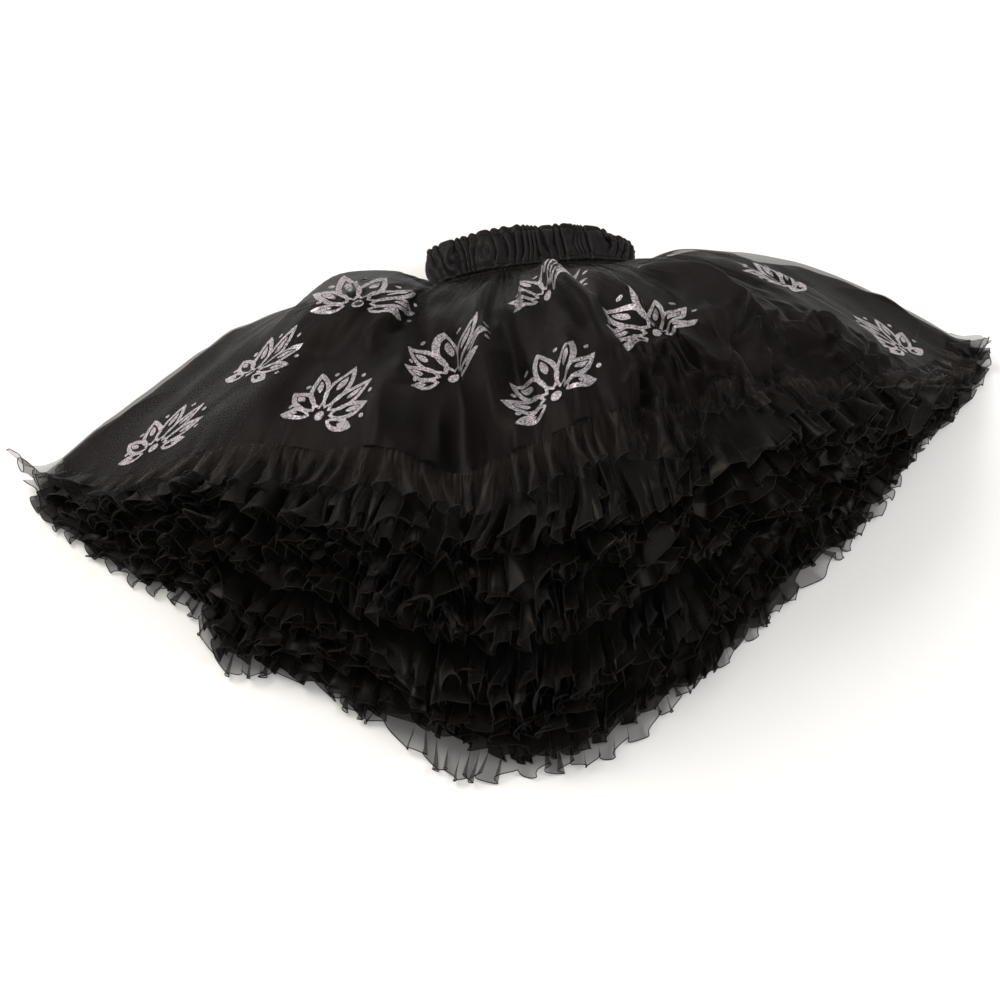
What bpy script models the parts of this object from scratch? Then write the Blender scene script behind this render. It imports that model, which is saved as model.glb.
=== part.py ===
"""A child's black tutu skirt, lying on its back with its hem towards -Y.

A gathered waistband holds a sheer overskirt and three net petticoat layers. Each layer has a front
half and a back half that meet at the sides. Every net panel ends in a gathered flounce, and the
overskirt ends in a narrow gathered trim.

The skirt spreads like a fan. A bearing is an angle in plan about the waist: 0 points to the hem,
negative bearings are to the left (-X) and positive ones to the right. A run goes along a layer from
the waist seam at 0 to the layer's free edge at 1. A level is a share of the skirt's height: 0 lies on
the surface and 1 is the front of the overskirt.
"""

import math

import bmesh
import bpy
from mathutils import Matrix, Vector

# Driving sizes, in millimetres

MM = 0.001
WALL = 1.2                 # thickness of every cloth wall
SEAM_GAP = 0.3             # clearance where two pieces are sewn together
RUFFLE_GAP = 0.6           # clearance at a ruffle's root, where its first waves tilt its edge
LAYER_STEP = 2.0           # from the middle of one wall to the next in the waist seam
BAND_HALF_WIDTH = 72.0     # waist opening, half of it across
BAND_HALF_HEIGHT = 17.0    # waist opening, half of it upwards
BAND_LENGTH = 34.0         # casing, along the wearer's body
BAND_WALL = 2.4            # casing and elastic together
BAND_PUFF = 1.6            # how far the casing bulges between its two seams
BAND_GATHER_DEPTH = 0.9
TRIM_WIDTH = 28.0          # ruffle on the overskirt's hem
FLOUNCE_WIDTH = 52.0       # ruffle on each net panel's hem
NECK = 3.0                 # stretch below the waistband that the overskirt runs straight
NECK_STEP = 3.2            # how much longer that stretch is in each layer further in
SIDE_BOW = 50.0            # how far the side folds bow outwards
WAVE_SWAY = 3.5            # how far a wave leans in and out at its free edge
EDGE_CLEARANCE = 0.8       # least space left between the waves of neighbouring layers

# Counts and shares

BAND_GATHERS = 20
TRIM_WAVES = 26
FLOUNCE_WAVES = 20
STEPS_PER_WAVE = 4
CREST_TURN = 110.0         # degrees of a sine that a layer climbs from waist to free edge
FLOOR_RUN = 0.28           # share of its run in which a side fold comes down to its side height
ROUNDING_RUN = 0.12        # share of its run in which the waist oval opens into the full form
CLOSING_POWER = 5          # how late a front half turns down to meet its back half
BOW_POWER = 3              # how much of the bow stays near the side folds
BOW_SKEW = 0.75            # under 1, the bow is widest on the waist's side of the middle
WAVE_SKEW = 0.10           # how far a wave leans sideways, as a share of its length
WAVE_SPREAD = 0.28         # how uneven the waves' depths are
WAVE_GROWTH = 1.4          # over 1, a wave opens late on its way from the root
WAVE_STEEPNESS = 0.30      # deepest a wave swings, as a share of its length
WAIST_CROWDING = 1.3       # how much closer a panel's rows lie near the waist
EDGE_RUN = 0.05            # last share of a panel's run, which gives its edge's slope
OVAL_STEPS = 720           # steps in which the waist oval's length is measured

# The fan in plan and height: a row for each bearing. The floor reach is how far the lowest layer
# comes from the waist seam, the top reach how far the front of the overskirt comes, and the top rise
# is the height of the front's free edge.

FAN_COLUMNS = ("bearing", "floor_reach", "top_reach", "top_rise")
FAN = (
    (-73, 374, 368, 16),
    (-65, 366, 345, 46),
    (-57, 348, 305, 78),
    (-50, 333, 281, 98),
    (-43, 348, 265, 110),
    (-34, 333, 258, 121),
    (-25, 340, 254, 127),
    (-17, 357, 250, 132),
    (-8, 356, 242, 137),
    (0, 342, 234, 140),
    (9, 321, 228, 143),
    (17, 297, 229, 142),
    (27, 286, 236, 136),
    (38, 284, 250, 121),
    (47, 284, 266, 100),
    (55, 286, 282, 72),
    (63, 300, 300, 42),
    (73, 318, 316, 16),
)

# The largest folds of the front: a row for each. A fold runs from one bearing at the waist to
# another at the hem, between two runs, and is a ridge where its height is positive.

FOLD_COLUMNS = ("waist_bearing", "hem_bearing", "first_run", "last_run", "height", "spread")
FOLDS = (
    (-46, -17, 0.08, 1.30, -24, 6.0),
    (-30, -27, 0.15, 1.20, 10, 7.0),
    (-62, -52, 0.20, 1.15, 9, 8.0),
    (-50, -40, 0.45, 1.25, -7, 4.0),
    (-4, 8, 0.02, 0.60, 16, 7.0),
    (12, -4, 0.15, 1.20, 11, 6.0),
    (24, 14, 0.25, 1.20, -10, 4.5),
    (36, 24, 0.20, 1.15, 10, 6.0),
    (50, 38, 0.30, 1.20, -7, 4.0),
    (58, 50, 0.25, 1.10, 8, 6.0),
    (-60, -48, 0.01, 0.55, 32, 15.0),
    (60, 52, 0.02, 0.45, 9, 13.0),
)

# The layers, from the outside in: a row for each. The inset counts the walls outside it at the waist
# seam. Its two halves meet at the side bearing, at the side height. A level places each half.

LAYER_COLUMNS = ("inset", "side_bearing", "side_height", "front_level", "back_level")
LAYERS = {
    "overskirt": (0, 73.0, WALL + SEAM_GAP / 2, 1.00, 0.00),
    "outer": (1, 68.5, 6.0, 0.82, 0.06),
    "middle": (2, 64.0, 9.5, 0.66, 0.15),
    "inner": (3, 59.5, 14.5, 0.50, 0.26),
}

# The halves from the surface upwards

STACK = (
    ("overskirt", "back"), ("outer", "back"), ("middle", "back"), ("inner", "back"),
    ("inner", "front"), ("middle", "front"), ("outer", "front"), ("overskirt", "front"),
)

# Rows from waist to hem in each kind of panel, and its columns for each wave of its ruffle

PANEL_GRIDS = {
    ("overskirt", "front"): (8, 2),
    ("overskirt", "back"): (8, 1),
    ("net", "front"): (6, 1),
    ("net", "back"): (6, 1),
}
RUFFLE_ROWS = 2
BAND_ROWS = 3

# Colour, roughness and metallic value of each cloth

CLOTHS = {
    "casing": ((0.012, 0.010, 0.014, 1.0), 0.78, 0.0),
    "organza": ((0.016, 0.014, 0.013, 1.0), 0.46, 0.0),
    "net": ((0.010, 0.009, 0.009, 1.0), 0.70, 0.0),
    "ruffle": ((0.013, 0.012, 0.012, 1.0), 0.58, 0.0),
}

# Worked out from the sizes above

BAND_MIDDLE = BAND_HALF_HEIGHT + BAND_PUFF + BAND_GATHER_DEPTH + BAND_WALL / 2
HALF_SEAM = (WALL + SEAM_GAP) / 2


def clear_scene():
    """Remove whatever the scene holds."""
    for item in list(bpy.data.objects):
        bpy.data.objects.remove(item, do_unlink=True)


def cloth_material(name, cloth):
    """A Principled material for one piece."""
    colour, roughness, metallic = CLOTHS[cloth]
    material = bpy.data.materials.new(name + "_cloth")
    material.use_nodes = True
    shader = material.node_tree.nodes["Principled BSDF"]
    shader.inputs["Base Color"].default_value = colour
    shader.inputs["Roughness"].default_value = roughness
    shader.inputs["Metallic"].default_value = metallic
    return material


def sheet_mesh(name, columns, rows, place, closed=False):
    """A grid whose points are placed by a function of column and row; closed joins its two sides."""
    mesh = bpy.data.meshes.new(name)
    form = bmesh.new()
    bmesh.ops.create_grid(form, x_segments=columns, y_segments=rows, size=1.0)
    for point in form.verts:
        column = round((point.co.x + 1.0) / 2.0 * columns)
        row = round((point.co.y + 1.0) / 2.0 * rows)
        point.co = place(column, row) * MM
    if closed:
        bmesh.ops.remove_doubles(form, verts=form.verts, dist=MM * 0.001)
    bmesh.ops.recalc_face_normals(form, faces=form.faces)
    form.to_mesh(mesh)
    form.free()
    mesh.shade_smooth()
    return mesh


def add_piece(collection, name, mesh, wall, cloth):
    """Give a sheet its wall and its cloth, as one named object."""
    piece = bpy.data.objects.new(name, mesh)
    collection.objects.link(piece)
    mesh.materials.append(cloth_material(name, cloth))
    thickness = piece.modifiers.new("wall", "SOLIDIFY")
    thickness.thickness = wall * MM
    thickness.offset = 0.0
    return piece


def ease(value):
    """A smooth step from 0 to 1."""
    value = min(max(value, 0.0), 1.0)
    return value * value * (3.0 - 2.0 * value)


def fan_value(column, bearing):
    """Read one column of the fan table at any bearing, on a smooth curve through its rows."""
    place = FAN_COLUMNS.index(column)
    last = len(FAN) - 1
    bearing = min(max(bearing, FAN[0][0]), FAN[last][0])
    at = next(row for row in range(last) if bearing <= FAN[row + 1][0])
    share = (bearing - FAN[at][0]) / (FAN[at + 1][0] - FAN[at][0])
    low, high = FAN[at][place], FAN[at + 1][place]
    low_slope = (high - FAN[max(at - 1, 0)][place]) / 2.0
    high_slope = (FAN[min(at + 2, last)][place] - low) / 2.0
    square, cube = share ** 2, share ** 3
    return (low * (2 * cube - 3 * square + 1) + low_slope * (cube - 2 * square + share)
            + high * (3 * square - 2 * cube) + high_slope * (cube - square))


def fold_lift(bearing, run):
    """How far the largest folds lift or sink the front at one place."""
    lift = 0.0
    for row in FOLDS:
        fold = dict(zip(FOLD_COLUMNS, row))
        along = (run - fold["first_run"]) / (fold["last_run"] - fold["first_run"])
        if 0.0 < along < 1.0:
            turned = fold["hem_bearing"] - fold["waist_bearing"]
            centre = fold["waist_bearing"] + turned * run
            across = math.exp(-((bearing - centre) / fold["spread"]) ** 2)
            lift += fold["height"] * across * math.sin(math.pi * along)
    return lift


def climb(run):
    """Share of its rise that a layer has reached at one run; it crests before its free edge."""
    turn = math.radians(CREST_TURN)
    return math.sin(turn * run) / math.sin(turn)


def layer_value(layer, column):
    """Read one column of the layer table."""
    return LAYERS[layer][LAYER_COLUMNS.index(column)]


def level_of(layer, half):
    """The level of one half of a layer."""
    return layer_value(layer, half + "_level")


def closing(layer, bearing, run=1.0):
    """1 over most of a layer, falling to 0 where its halves meet at the side."""
    share = min(abs(bearing) / layer_value(layer, "side_bearing"), 1.0)
    oval = math.cos(math.pi / 2 * share)
    full = math.sqrt(1.0 - share ** CLOSING_POWER)
    return oval + (full - oval) * ease(run / ROUNDING_RUN)


def side_line(layer, half, run):
    """Height of the side fold, where the two halves of a layer are sewn together."""
    lowest = layer_value(layer, "side_height")
    height = BAND_MIDDLE + (lowest - BAND_MIDDLE) * ease(run / FLOOR_RUN)
    return height + (HALF_SEAM if half == "front" else -HALF_SEAM)


def waist_point(layer, half, bearing):
    """Where a layer's thread line starts in the waist seam."""
    turn = math.radians(90.0 * bearing / layer_value(layer, "side_bearing"))
    x = (BAND_HALF_WIDTH - layer_value(layer, "inset") * LAYER_STEP) * math.sin(turn)
    return Vector((x, -SEAM_GAP, layer_height(layer, half, bearing, 0.0)))


def layer_height(layer, half, bearing, run):
    """Height of the middle of a layer's wall."""
    up = 1 if half == "front" else -1
    waist = BAND_MIDDLE + up * (BAND_HALF_HEIGHT - layer_value(layer, "inset") * LAYER_STEP)
    side = side_line(layer, half, run)
    if (layer, half) == STACK[0]:
        free = waist + (WALL / 2 - waist) * ease(run / FLOOR_RUN)
        return side + (free - side) * closing(layer, bearing, run)
    level = level_of(layer, half)
    climbed = climb(run)
    free = waist * (1.0 - min(climbed, 1.0)) + level * fan_value("top_rise", bearing) * climbed
    if half == "front":
        free += level * fold_lift(bearing, run)
    return side + (free - side) * closing(layer, bearing, run)


def layer_reach(layer, half, bearing):
    """How far a layer's free edge lies from the waist seam in plan."""
    side_level = (level_of(layer, "front") + level_of(layer, "back")) / 2
    level = side_level + (level_of(layer, half) - side_level) * closing(layer, bearing)
    floor_reach = fan_value("floor_reach", bearing)
    return floor_reach + (fan_value("top_reach", bearing) - floor_reach) * level


def neck_point(layer, half, bearing):
    """Where a layer's thread line ends its straight stretch below the waistband."""
    neck = NECK + NECK_STEP * layer_value(layer, "inset")
    return waist_point(layer, half, bearing) - Vector((0.0, neck, 0.0))


def layer_point(layer, half, bearing, run):
    """The middle of a layer's wall at one bearing and run, from the neck on."""
    start = neck_point(layer, half, bearing)
    reach = layer_reach(layer, half, bearing)
    turn = math.radians(bearing)
    x = start.x + (reach * math.sin(turn) - start.x) * run
    y = start.y + (-reach * math.cos(turn) - start.y) * run
    outwards = (bearing / layer_value(layer, "side_bearing")) ** BOW_POWER
    bow = SIDE_BOW * outwards * math.sin(math.pi * run ** BOW_SKEW)
    x += bow * math.cos(turn)
    y += bow * math.sin(turn)
    return Vector((x, y, layer_height(layer, half, bearing, run)))


def bearing_at(layer, share):
    """The bearing at one share of the way across a layer, from its left side to its right."""
    return layer_value(layer, "side_bearing") * (2.0 * share - 1.0)


def ruffle_width(layer):
    """Width of the gathered strip on a layer's hem."""
    return TRIM_WIDTH if layer == "overskirt" else FLOUNCE_WIDTH


def seam_run(layer, half, bearing):
    """The run at which a panel ends and its gathered strip begins."""
    return 1.0 - ruffle_width(layer) / layer_reach(layer, half, bearing)


def neighbours(layer, half, bearing):
    """The nearest halves above and below one half that reach as far to the side."""
    at = STACK.index((layer, half))
    found = []
    for side in (reversed(STACK[:at]), STACK[at + 1:]):
        reaching = [other for other in side if layer_value(other[0], "side_bearing") >= abs(bearing)]
        found.extend(reaching[:1])
    return found


def wave_depth(layer, half, bearing, waves):
    """How far a layer's waves swing, clear of the layers above and below and no steeper than cloth."""
    own = layer_height(layer, half, bearing, 1.0)
    spaces = [abs(layer_height(*other, bearing, 1.0) - own) for other in neighbours(layer, half, bearing)]
    clear = (min(spaces) - WALL - EDGE_CLEARANCE) / 2
    wave_angle = math.radians(2.0 * layer_value(layer, "side_bearing") / waves)
    steepest = WAVE_STEEPNESS * layer_reach(layer, half, bearing) * wave_angle
    return max(min(clear, steepest), 0.0)


def panel_grid(layer, half, waves):
    """Columns and rows of a panel's grid."""
    rows, columns_per_wave = PANEL_GRIDS[("overskirt" if layer == "overskirt" else "net", half)]
    return columns_per_wave * waves, rows


def add_panel(collection, name, layer, half, waves, cloth):
    """A plain panel from the waist seam to the root of its gathered strip."""
    columns, rows = panel_grid(layer, half, waves)

    def place(column, row):
        bearing = bearing_at(layer, column / columns)
        if row == 0:
            return waist_point(layer, half, bearing)
        if row == 1:
            return neck_point(layer, half, bearing)
        share = ((row - 1) / (rows - 1)) ** WAIST_CROWDING
        return layer_point(layer, half, bearing, seam_run(layer, half, bearing) * share)

    mesh = sheet_mesh(name, columns, rows, place)
    return add_piece(collection, name, mesh, WALL, cloth)


def seam_line(layer, half, waves):
    """Points of a gathered strip's root, one gap beyond the panel's own edge points."""
    columns = panel_grid(layer, half, waves)[0]
    points = []
    for column in range(columns + 1):
        bearing = bearing_at(layer, column / columns)
        run = seam_run(layer, half, bearing)
        edge = layer_point(layer, half, bearing, run)
        inner = layer_point(layer, half, bearing, run - EDGE_RUN)
        points.append(edge + (edge - inner).normalized() * RUFFLE_GAP)
    return points


def along_line(points, share):
    """The point at one share of the way along a line of evenly counted points."""
    place = min(max(share, 0.0), 1.0) * (len(points) - 1)
    low = min(int(place), len(points) - 2)
    return points[low].lerp(points[low + 1], place - low)


def add_ruffle(collection, name, layer, half, waves, cloth):
    """A gathered strip: plain at its root, with waves that grow towards its free edge."""
    root = seam_line(layer, half, waves)
    columns = waves * STEPS_PER_WAVE
    order = STACK.index((layer, half))
    on_floor = (layer, half) == STACK[0]

    def place(column, row):
        wave, step = divmod(column, STEPS_PER_WAVE)
        within = step / STEPS_PER_WAVE
        skew = WAVE_SKEW * math.sin(1.7 * wave + 2.3 * order)
        share = (wave + within + skew * math.sin(math.pi * within)) / waves
        if row == 0:
            return along_line(root, share)
        grown = row / RUFFLE_ROWS
        bearing = bearing_at(layer, share)
        start = seam_run(layer, half, bearing)
        point = layer_point(layer, half, bearing, start + (1.0 - start) * grown)
        uneven = 1.0 - WAVE_SPREAD * (0.5 + 0.5 * math.sin(2.9 * wave + 1.3 * order))
        turn = math.tau * within
        opened = uneven * grown ** WAVE_GROWTH
        depth = wave_depth(layer, half, bearing, waves) * opened
        sway = WAVE_SWAY * opened * math.cos(turn)
        point.z += depth * (0.5 + 0.5 * math.sin(turn) if on_floor else math.sin(turn))
        point.x += sway * math.sin(math.radians(bearing))
        point.y -= sway * math.cos(math.radians(bearing))
        return point

    mesh = sheet_mesh(name, columns, RUFFLE_ROWS, place)
    return add_piece(collection, name, mesh, WALL, cloth)


def oval_turns(count):
    """Turns round the waist oval that split its length into equal steps."""
    turns = [math.tau * step / OVAL_STEPS for step in range(OVAL_STEPS + 1)]
    lengths = [0.0]
    for turn in turns[1:]:
        middle = turn - math.pi / OVAL_STEPS
        step = math.hypot(BAND_HALF_WIDTH * math.cos(middle), BAND_HALF_HEIGHT * math.sin(middle))
        lengths.append(lengths[-1] + step)
    picked = []
    at = 0
    for step in range(count + 1):
        wanted = lengths[-1] * step / count
        while at < OVAL_STEPS and lengths[at] < wanted:
            at += 1
        picked.append(turns[at])
    return picked


def add_waistband(collection):
    """The casing: an oval ring along Y, puffed between its seams and drawn into gathers."""
    columns = BAND_GATHERS * STEPS_PER_WAVE
    turns = oval_turns(columns)

    def place(column, row):
        turn = turns[column % columns]
        along = row / BAND_ROWS
        gather = BAND_GATHER_DEPTH * math.sin(math.tau * column / STEPS_PER_WAVE)
        proud = (BAND_PUFF + gather) * math.sin(math.pi * along)
        outward = Vector((BAND_HALF_HEIGHT * math.sin(turn), 0.0, BAND_HALF_WIDTH * math.cos(turn)))
        centre = Vector((BAND_HALF_WIDTH * math.sin(turn), BAND_LENGTH * along,
                         BAND_MIDDLE + BAND_HALF_HEIGHT * math.cos(turn)))
        return centre + outward.normalized() * proud

    mesh = sheet_mesh("waistband", columns, BAND_ROWS, place, closed=True)
    return add_piece(collection, "waistband", mesh, BAND_WALL, "casing")


def centre_over_origin(pieces):
    """Move every mesh so that the skirt's box stands centred over the origin."""
    corners = [point.co for piece in pieces for point in piece.data.vertices]
    middle_x = (min(c.x for c in corners) + max(c.x for c in corners)) / 2
    middle_y = (min(c.y for c in corners) + max(c.y for c in corners)) / 2
    shift = Matrix.Translation((-middle_x, -middle_y, 0.0))
    for piece in pieces:
        piece.data.transform(shift)


def build():
    """Make every piece of the skirt."""
    clear_scene()
    collection = bpy.data.collections.new("tutu_skirt")
    bpy.context.scene.collection.children.link(collection)
    pieces = [add_waistband(collection)]
    for layer, half in STACK:
        if layer == "overskirt":
            pieces.append(add_panel(collection, "overskirt_" + half, layer, half, TRIM_WAVES, "organza"))
            pieces.append(add_ruffle(collection, "overskirt_trim_" + half, layer, half, TRIM_WAVES,
                                     "organza"))
        else:
            pieces.append(add_panel(collection, "petticoat_" + layer + "_" + half, layer, half,
                                    FLOUNCE_WAVES, "net"))
            pieces.append(add_ruffle(collection, "flounce_" + layer + "_" + half, layer, half,
                                     FLOUNCE_WAVES, "ruffle"))
    centre_over_origin(pieces)


build()
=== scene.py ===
# %% [markdown]
# # Dressing a child's tutu skirt
#
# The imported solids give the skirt's true form: a gathered waistband, a sheer overskirt and three
# net petticoat layers, spread like a fan on its back. They are walls with a few broad waves. This
# lesson puts the real cloth in their place. Almost every piece below is a thin sheet that starts as
# a plain grid and is laid on the form of the solid that it stands for, so it always sits where the
# frame says.

# %% Load the fixed frame
import math

import bmesh
import bpy
import numpy as np
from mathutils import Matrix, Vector


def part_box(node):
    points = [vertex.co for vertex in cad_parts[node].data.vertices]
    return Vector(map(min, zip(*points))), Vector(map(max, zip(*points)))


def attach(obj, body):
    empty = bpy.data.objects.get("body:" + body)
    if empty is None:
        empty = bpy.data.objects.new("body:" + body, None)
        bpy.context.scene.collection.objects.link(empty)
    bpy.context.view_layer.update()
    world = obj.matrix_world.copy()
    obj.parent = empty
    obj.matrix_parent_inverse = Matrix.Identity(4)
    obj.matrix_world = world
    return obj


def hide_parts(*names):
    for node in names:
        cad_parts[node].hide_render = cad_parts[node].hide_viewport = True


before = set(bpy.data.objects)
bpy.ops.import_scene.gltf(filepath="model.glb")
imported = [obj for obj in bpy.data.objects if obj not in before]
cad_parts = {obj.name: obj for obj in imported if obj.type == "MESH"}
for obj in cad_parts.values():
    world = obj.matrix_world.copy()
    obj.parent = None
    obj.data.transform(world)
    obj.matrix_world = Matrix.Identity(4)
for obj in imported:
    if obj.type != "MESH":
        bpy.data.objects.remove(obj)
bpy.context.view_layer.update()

band_low, band_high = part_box("waistband")

# %% [markdown]
# ## The form that the cloth lies on
#
# It is simplest, and exact, to repeat the few functions that made the solids. A bearing is an angle
# in plan about the waist: 0 points to the hem and positive ones go to the right. A run goes from
# the waist seam at 0 to the hem at 1. A level is a share of the skirt's height. The functions work
# on whole arrays, in millimetres.

# %% Sizes of the form, in millimetres
MM = 0.001
WALL = 1.2  # thickness of the solids' walls
SEAM_GAP = 0.3
LAYER_STEP = 2.0  # from one layer to the next in the waist seam
BAND_HALF_WIDTH = 72.0  # waist opening, half of it across
BAND_HALF_HEIGHT = 17.0  # waist opening, half of it upwards
BAND_LENGTH = 34.0
BAND_WALL = 2.4
BAND_PUFF = 1.6
BAND_GATHER_DEPTH = 0.9
NECK = 3.0  # straight stretch below the waistband
NECK_STEP = 3.2  # how much longer it is in each layer further in
SIDE_BOW = 50.0  # how far the side folds bow outwards
TRIM_WIDTH = 28.0
FLOUNCE_WIDTH = 52.0

# %% Shares and powers of the form
CREST_TURN = 110.0  # degrees of a sine that a layer climbs from waist to hem
FLOOR_RUN = 0.28  # where a side fold has come down to its side height
ROUNDING_RUN = 0.12  # where the waist oval has opened into the full form
CLOSING_POWER = 5
BOW_POWER = 3
BOW_SKEW = 0.75

# %% The fan: how far it reaches, and how high its front rises, for each bearing
FAN_COLUMNS = ("bearing", "floor_reach", "top_reach", "top_rise")
FAN = np.array((
    (-73, 374, 368, 16),
    (-65, 366, 345, 46),
    (-57, 348, 305, 78),
    (-50, 333, 281, 98),
    (-43, 348, 265, 110),
    (-34, 333, 258, 121),
    (-25, 340, 254, 127),
    (-17, 357, 250, 132),
    (-8, 356, 242, 137),
    (0, 342, 234, 140),
    (9, 321, 228, 143),
    (17, 297, 229, 142),
    (27, 286, 236, 136),
    (38, 284, 250, 121),
    (47, 284, 266, 100),
    (55, 286, 282, 72),
    (63, 300, 300, 42),
    (73, 318, 316, 16),
), dtype=float)

# %% The largest folds of the front, which the solids have too
FOLD_COLUMNS = ("waist_bearing", "hem_bearing", "first_run", "last_run", "height", "spread")
FOLDS = (
    (-46, -17, 0.08, 1.30, -24, 6.0),
    (-30, -27, 0.15, 1.20, 10, 7.0),
    (-62, -52, 0.20, 1.15, 9, 8.0),
    (-50, -40, 0.45, 1.25, -7, 4.0),
    (-4, 8, 0.02, 0.60, 16, 7.0),
    (12, -4, 0.15, 1.20, 11, 6.0),
    (24, 14, 0.25, 1.20, -10, 4.5),
    (36, 24, 0.20, 1.15, 10, 6.0),
    (50, 38, 0.30, 1.20, -7, 4.0),
    (58, 50, 0.25, 1.10, 8, 6.0),
    (-60, -48, 0.01, 0.55, 32, 15.0),
    (60, 52, 0.02, 0.45, 9, 13.0),
)

# %% The layers, from the outside in
LAYER_COLUMNS = ("inset", "side_bearing", "side_height", "front_level", "back_level")
LAYERS = {
    "overskirt": (0, 73.0, WALL + SEAM_GAP / 2, 1.00, 0.00),
    "outer": (1, 68.5, 6.0, 0.82, 0.06),
    "middle": (2, 64.0, 9.5, 0.66, 0.15),
    "inner": (3, 59.5, 14.5, 0.50, 0.26),
}
STACK = (
    ("overskirt", "back"), ("outer", "back"), ("middle", "back"), ("inner", "back"),
    ("inner", "front"), ("middle", "front"), ("outer", "front"), ("overskirt", "front"),
)
BAND_MIDDLE = BAND_HALF_HEIGHT + BAND_PUFF + BAND_GATHER_DEPTH + BAND_WALL / 2
HALF_SEAM = (WALL + SEAM_GAP) / 2
WAIST_X = (band_low[0] + band_high[0]) / 2 / MM
WAIST_Y = band_low[1] / MM
print("the waist seam's middle is at", round(WAIST_X, 1), round(WAIST_Y, 1), "mm")


# %% Reading the tables
def layer_value(layer, column):
    return LAYERS[layer][LAYER_COLUMNS.index(column)]


def side_of(layer):
    """The bearing of a layer's side folds."""
    return layer_value(layer, "side_bearing")


def ease(value):
    """A smooth step from 0 to 1."""
    value = np.clip(value, 0.0, 1.0)
    return value * value * (3.0 - 2.0 * value)


def mix(low, high, share):
    return low + (high - low) * share


def ramp(value, first, last):
    """A smooth step from 0 at the first value to 1 at the last one, which may be the lower."""
    return ease((value - first) / (last - first))


def fan_value(column, bearing):
    """A column of the fan table at any bearings, on a smooth curve through its rows."""
    bearings, values = FAN[:, 0], FAN[:, FAN_COLUMNS.index(column)]
    last = len(FAN) - 1
    bearing = np.clip(bearing, bearings[0], bearings[last])
    at = np.clip(np.searchsorted(bearings, bearing) - 1, 0, last - 1)
    share = (bearing - bearings[at]) / (bearings[at + 1] - bearings[at])
    low, high = values[at], values[at + 1]
    low_slope = (high - values[np.maximum(at - 1, 0)]) / 2.0
    high_slope = (values[np.minimum(at + 2, last)] - low) / 2.0
    square, cube = share ** 2, share ** 3
    return (low * (2 * cube - 3 * square + 1) + low_slope * (cube - 2 * square + share)
            + high * (3 * square - 2 * cube) + high_slope * (cube - square))


def lift_of(rows, bearing, run, ending=1.0):
    """How far a table of folds lifts or sinks the front; a higher ending fades them out softly."""
    lift = np.zeros(np.broadcast(bearing, run).shape)
    for row in rows:
        fold = dict(zip(FOLD_COLUMNS, row))
        along = (run - fold["first_run"]) / (fold["last_run"] - fold["first_run"])
        centre = fold["waist_bearing"] + (fold["hem_bearing"] - fold["waist_bearing"]) * run
        across = np.exp(-((bearing - centre) / fold["spread"]) ** 2)
        lift += fold["height"] * across * np.sin(math.pi * np.clip(along, 0.0, 1.0)) ** ending
    return lift


# %% The height of a layer
def closing(layer, bearing, run=1.0):
    """1 over most of a layer, falling to 0 where its halves meet at the side."""
    share = np.minimum(np.abs(bearing) / side_of(layer), 1.0)
    oval = np.cos(math.pi / 2 * share)
    full = np.sqrt(1.0 - share ** CLOSING_POWER)
    return mix(oval, full, ease(run / ROUNDING_RUN))


def layer_height(layer, half, bearing, run):
    up = 1 if half == "front" else -1
    waist = BAND_MIDDLE + up * (BAND_HALF_HEIGHT - layer_value(layer, "inset") * LAYER_STEP)
    lowered = ease(run / FLOOR_RUN)
    side = mix(BAND_MIDDLE, layer_value(layer, "side_height"), lowered) + up * HALF_SEAM
    if (layer, half) == STACK[0]:
        return mix(side, mix(waist, WALL / 2, lowered), closing(layer, bearing, run))
    level = layer_value(layer, half + "_level")
    turn = math.radians(CREST_TURN)
    climbed = np.sin(turn * run) / math.sin(turn)
    free = waist * (1.0 - np.minimum(climbed, 1.0))
    free = free + level * fan_value("top_rise", bearing) * climbed
    if half == "front":
        free = free + level * lift_of(FOLDS, bearing, run)
    return mix(side, free, closing(layer, bearing, run))


# %% The reach of a layer in plan
def layer_reach(layer, half, bearing):
    """How far a layer's hem lies from the waist seam."""
    side_level = (layer_value(layer, "front_level") + layer_value(layer, "back_level")) / 2
    level = mix(side_level, layer_value(layer, half + "_level"), closing(layer, bearing))
    return mix(fan_value("floor_reach", bearing), fan_value("top_reach", bearing), level)


# %% A point of a layer, from its straight neck on
def layer_point(layer, half, bearing, run):
    half_width = BAND_HALF_WIDTH - layer_value(layer, "inset") * LAYER_STEP
    start_x = half_width * np.sin(math.pi / 2 * bearing / side_of(layer))
    start_y = -SEAM_GAP - NECK - NECK_STEP * layer_value(layer, "inset")
    reach, turn = layer_reach(layer, half, bearing), np.radians(bearing)
    outwards = (bearing / side_of(layer)) ** BOW_POWER
    bow = SIDE_BOW * outwards * np.sin(math.pi * np.clip(run, 0.0, 1.0) ** BOW_SKEW)
    x = mix(start_x, reach * np.sin(turn), run) + bow * np.cos(turn)
    y = mix(start_y, -reach * np.cos(turn), run) + bow * np.sin(turn)
    z = layer_height(layer, half, bearing, run)
    return np.stack([x + WAIST_X, y + WAIST_Y, z], axis=-1)


# %% [markdown]
# ## Laying a grid on the form
#
# Cloth is easiest to model as what it is: a flat sheet that is bent. Blender's grid operator gives
# the sheet, and then every point is moved. A point is known by how far it is across the sheet and
# down it, both from 0 to 1. The UV map keeps the sheet's flat size in millimetres, so a weave
# drawn on it has the right scale and follows every bend.


# %% From a bmesh form to a mesh, and from its data to an object
def finished(form, name):
    mesh = bpy.data.meshes.new(name)
    form.to_mesh(mesh)
    form.free()
    return mesh


def put(name, data):
    piece = bpy.data.objects.new(name, data)
    bpy.context.scene.collection.objects.link(piece)
    return piece


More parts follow.
